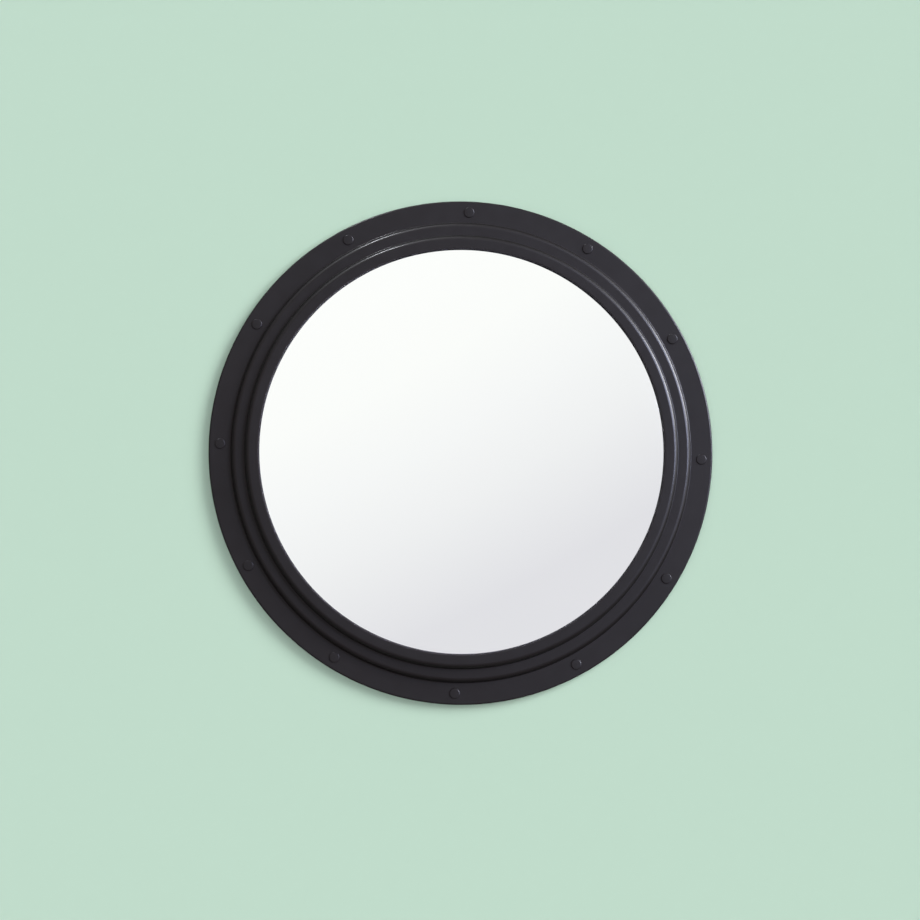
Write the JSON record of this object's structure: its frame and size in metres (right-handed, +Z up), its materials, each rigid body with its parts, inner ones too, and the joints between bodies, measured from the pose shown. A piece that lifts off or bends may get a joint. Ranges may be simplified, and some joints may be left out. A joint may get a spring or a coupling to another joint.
{
  "type": "convex wall mirror",
  "caption": "Round convex mirror bowed out of a black pressed-steel ring with two raised steps and a riveted flange, hung flat on a wall by hinged D-rings",
  "frame": {"origin": "the mirror's centre, on the plane of the wall that its bumpers rest on", "axes": "+Z up, the mirror faces -Y, +X to the right as seen by the viewer"},
  "size_m": [0.5999, 0.0456, 0.6],
  "materials": {
    "black_paint": "satin",
    "rivet_paint": "satin",
    "mirror": "polished",
    "gasket_rubber": "matte",
    "foam": "matte",
    "fibreboard": "matte",
    "hardboard": "matte",
    "zinc_plate": "satin",
    "nickel_plate": "satin",
    "nickel_wire": "polished",
    "bumper_rubber": "matte"
  },
  "bodies": {
    "mirror": {"frame_ring": "black_paint", "rim_rivets": "rivet_paint", "mirror_glass": "mirror", "edge_gasket": "gasket_rubber", "foam_ring": "foam", "support_ring": "fibreboard", "back_board": "hardboard", "rivet_washers": "zinc_plate", "support_screws": "zinc_plate", "hanger_screws": "zinc_plate", "bumper_screws": "zinc_plate", "hanger_plate_left": "nickel_plate", "hanger_plate_right": "nickel_plate", "bumper_top_left": "bumper_rubber", "bumper_top_right": "bumper_rubber", "bumper_bottom_left": "bumper_rubber", "bumper_bottom_right": "bumper_rubber"},
    "ring_left": {"d_ring_left": "nickel_wire"},
    "ring_right": {"d_ring_right": "nickel_wire"}
  },
  "joints": [
    {"name": "d_ring_left_hinge", "type": "hinge", "parent": "mirror", "child": "ring_left", "pos_m": [-0.20118, -0.0037, 0.13615], "axis": [-1, 0, 0], "range_deg": [0, 174]},
    {"name": "d_ring_right_hinge", "type": "hinge", "parent": "mirror", "child": "ring_right", "pos_m": [0.20118, -0.0037, 0.13615], "axis": [-1, 0, 0], "range_deg": [0, 174]}
  ]
}
